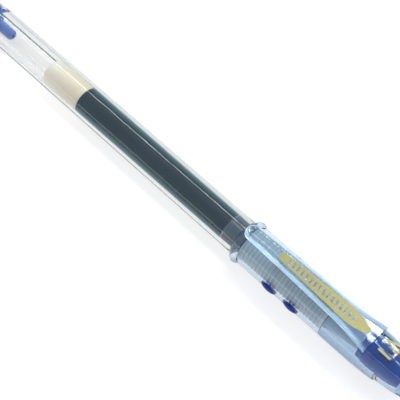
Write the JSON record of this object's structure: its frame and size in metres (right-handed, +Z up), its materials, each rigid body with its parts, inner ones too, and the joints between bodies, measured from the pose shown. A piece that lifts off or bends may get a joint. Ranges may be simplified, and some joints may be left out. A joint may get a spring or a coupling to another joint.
{
  "type": "gel pen",
  "caption": "Capped gel pen with a clear barrel filled directly with dark ink, a ribbed grip, and a clear tinted cap with a moulded pocket clip.",
  "frame": {"origin": "below the middle of the pen's length, on the surface that its lowest point touches", "axes": "+X along the pen from the rear plug to the closed end of the cap, +Z up through the pocket clip"},
  "size_m": [0.15, 0.0118, 0.0131],
  "materials": {
    "clear_barrel": "clear polished plastic",
    "blue_plug": "moulded blue plastic",
    "grease": "cloudy beige grease",
    "ink": "wet blue-black gel ink",
    "smoke_plastic": "smoke-grey translucent plastic",
    "grip_rubber": "fine-ribbed grey elastomer",
    "tip_metal": "turned nickel silver",
    "ball_metal": "polished carbide",
    "clear_cap": "clear plastic with a light blue tint",
    "seal_rubber": "soft pale elastomer",
    "gold_foil": "satin gold stamping foil"
  },
  "bodies": {
    "pen": {"barrel_tube": "clear_barrel", "end_plug": "blue_plug", "ink_column": "ink", "section_ink": "ink", "front_section": "smoke_plastic", "grip_sleeve": "grip_rubber", "nose_cone": "smoke_plastic", "tip_holder": "smoke_plastic", "writing_tip": "tip_metal"},
    "follower": {"follower_grease": "grease"},
    "ball": {"tip_ball": "ball_metal"},
    "cap": {"cap_shell": "clear_cap", "inner_cap": "blue_plug", "tip_seal": "seal_rubber", "crown_mark": "gold_foil"},
    "clip": {"pocket_clip": "clear_cap", "clip_foil": "gold_foil"}
  },
  "joints": [
    {"name": "cap_pull", "type": "slide", "parent": "pen", "child": "cap", "axis": [1, 0, 0], "range_m": [0, 0.062]},
    {"name": "clip_flex", "type": "hinge", "parent": "cap", "child": "clip", "pos_m": [0.05917, 0, 0.01207], "axis": [0, 1, 0], "range_deg": [0, 3.5], "stiffness_Nm_per_rad": 0.5},
    {"name": "ball_roll", "type": "hinge", "parent": "pen", "child": "ball", "pos_m": [0.06381, 0, 0.00587], "axis": [0, 1, 0], "continuous": true},
    {"name": "follower_advance", "type": "slide", "parent": "pen", "child": "follower", "axis": [1, 0, 0], "range_m": [0, 0.05], "deforming": ["ink_column"]}
  ]
}
